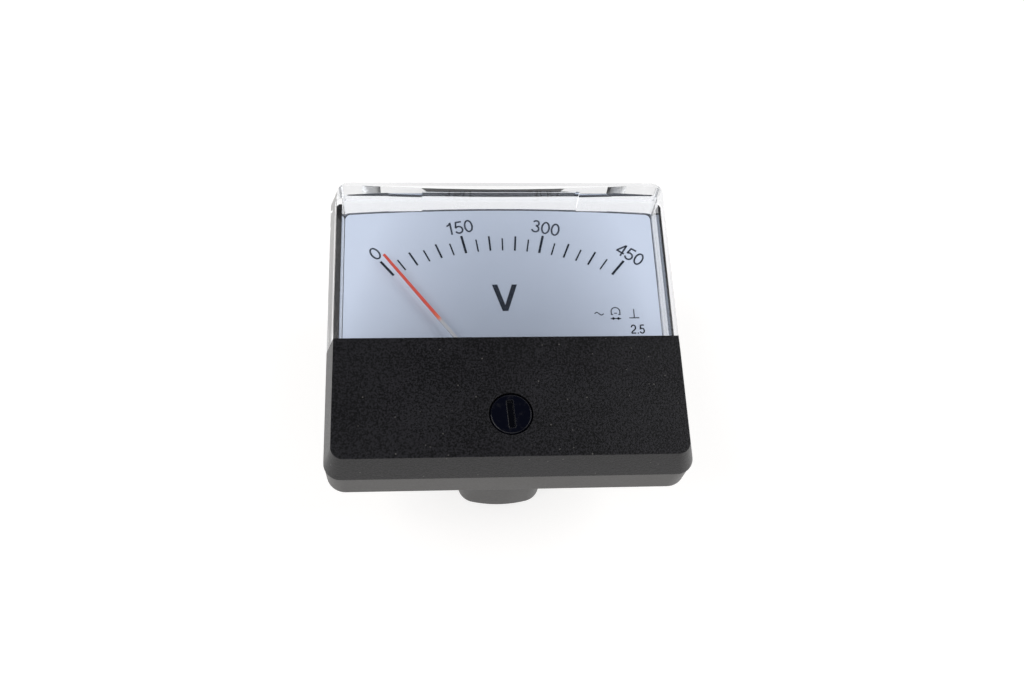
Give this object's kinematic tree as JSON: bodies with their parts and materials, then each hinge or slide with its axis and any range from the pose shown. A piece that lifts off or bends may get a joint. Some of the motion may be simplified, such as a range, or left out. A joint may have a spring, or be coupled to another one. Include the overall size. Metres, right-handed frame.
{
  "type": "analog panel meter",
  "caption": "Rectangular moving-coil panel meter: clear flared window over a white arc scale with a red needle, black lower cover with zero screw, round barrel behind the flange.",
  "frame": {"origin": "centre of the face that seats on the panel, on the axis of the round barrel", "axes": "+Z out of the dial towards the reader, +Y to the top of the dial, +X to its right"},
  "size_m": [0.0512, 0.0456, 0.0316],
  "materials": {
    "clear_plastic": "clear polystyrene, polished",
    "black_mask": "fine spark texture",
    "black_base": "satin moulded",
    "black_gloss": "glossy moulded",
    "dial_white": "satin white enamel",
    "dial_ink": "screen-printed ink",
    "soft_iron": "zinc plated",
    "magnet_alloy": "ground",
    "steel": "bright",
    "brass": "bright",
    "aluminium": "satin",
    "copper": "enamelled copper wire",
    "needle_red": "thin paint",
    "board": "laminate",
    "component_black": "moulded",
    "resistor_blue": "lacquered",
    "lead_red": "insulated wire"
  },
  "bodies": {
    "base": {"window_cover": "clear_plastic", "lower_mask": "black_mask", "base_housing": "black_base", "dial_plate": "dial_white", "scale_marks": "dial_ink", "dial_screws": "steel", "left_pole_piece": "soft_iron", "right_pole_piece": "soft_iron", "magnet": "magnet_alloy", "iron_core": "soft_iron", "core_carrier": "brass", "movement_screws": "steel", "front_bridge": "brass", "front_bridge_screws": "steel", "front_jewel_screw": "brass", "front_jewel_nut": "brass", "rear_bridge": "brass", "rear_bridge_screws": "steel", "rear_jewel_screw": "brass", "rear_jewel_nut": "brass", "needle_stops": "brass", "rectifier_board": "board", "board_screws": "steel", "rectifier_diodes": "component_black", "series_resistor": "resistor_blue", "inner_leads": "lead_red", "solder_tags": "brass", "terminal_studs": "brass", "terminal_washers": "steel", "terminal_nuts": "brass", "mounting_studs": "steel"},
    "zero_screw": {"zero_screw": "black_gloss"},
    "zero_arm": {"zero_arm": "brass"},
    "moving_element": {"coil_former": "aluminium", "coil_winding": "copper", "front_shaft": "steel", "rear_shaft": "steel", "front_hairspring": "copper", "rear_hairspring": "copper", "needle": "needle_red", "balance_weights": "brass"}
  },
  "joints": [
    {"name": "zero_screw_turn", "type": "hinge", "parent": "base", "child": "zero_screw", "pos_m": [0, -0.0154, 0.00875], "axis": [0, 0, 1], "range_deg": [-30, 30]},
    {"name": "zero_arm_turn", "type": "hinge", "parent": "base", "child": "zero_arm", "pos_m": [0.00033, -0.0102, 0.0073], "axis": [0, 0, 1], "range_deg": [-3.1, 3.1]},
    {"name": "needle_swing", "type": "hinge", "parent": "zero_arm", "child": "moving_element", "pos_m": [0.00033, -0.0102, 0], "axis": [0, 0, 1], "range_deg": [-81.46, 1.6], "stiffness_Nm_per_rad": 0.000015}
  ],
  "couplings": [
    {"joint": "zero_arm_turn", "follows": "zero_screw_turn", "ratio": 0.10345}
  ]
}
